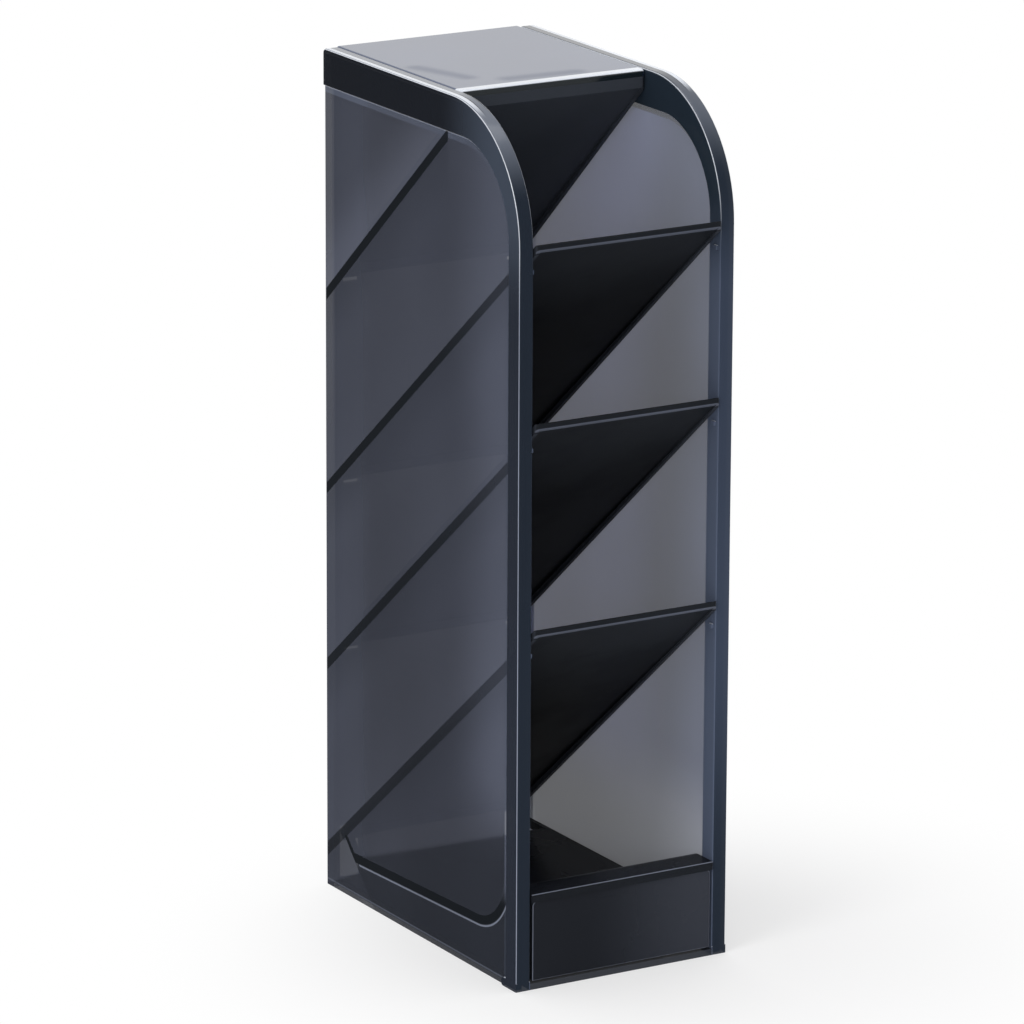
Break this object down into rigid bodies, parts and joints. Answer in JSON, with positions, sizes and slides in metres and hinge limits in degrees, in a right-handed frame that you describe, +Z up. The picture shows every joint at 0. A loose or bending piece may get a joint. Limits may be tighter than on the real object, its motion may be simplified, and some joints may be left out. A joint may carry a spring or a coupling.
{
  "type": "pen organizer",
  "caption": "Upright desk organizer of smoke plastic with curved side rims, slanted lift-out dividers, a closed roof and a scooped tray that pulls out at the foot.",
  "frame": {"origin": "middle of the footprint, on the surface that the organizer stands on", "axes": "+Z up, -Y towards the open front, +X to the right as seen from the front"},
  "size_m": [0.068, 0.1092, 0.2451],
  "materials": {
    "smoke_panel": "gloss, translucent smoke grey",
    "smoke_rim": "gloss, darker where the rim doubles the wall",
    "smoke_divider": "satin on the upper face, gloss on the lip",
    "smoke_tray": "gloss, translucent smoke grey"
  },
  "bodies": {
    "housing": {"left_rim": "smoke_rim", "right_rim": "smoke_rim", "left_side_panel": "smoke_panel", "right_side_panel": "smoke_panel", "back_panel": "smoke_panel", "base_panel": "smoke_panel", "top_panel": "smoke_panel", "roof_plate": "smoke_divider"},
    "upper_divider": {"upper_divider": "smoke_divider"},
    "middle_divider": {"middle_divider": "smoke_divider"},
    "lower_divider": {"lower_divider": "smoke_divider"},
    "bottom_tray": {"bottom_tray": "smoke_tray"}
  },
  "joints": [
    {"name": "upper_divider_slide", "type": "slide", "parent": "housing", "child": "upper_divider", "axis": [0, -0.7771, 0.6293], "range_m": [0, 0.14]},
    {"name": "middle_divider_slide", "type": "slide", "parent": "housing", "child": "middle_divider", "axis": [0, -0.7771, 0.6293], "range_m": [0, 0.14]},
    {"name": "lower_divider_slide", "type": "slide", "parent": "housing", "child": "lower_divider", "axis": [0, -0.7771, 0.6293], "range_m": [0, 0.14]},
    {"name": "bottom_tray_slide", "type": "slide", "parent": "housing", "child": "bottom_tray", "axis": [0, -1, 0], "range_m": [0, 0.105]}
  ]
}
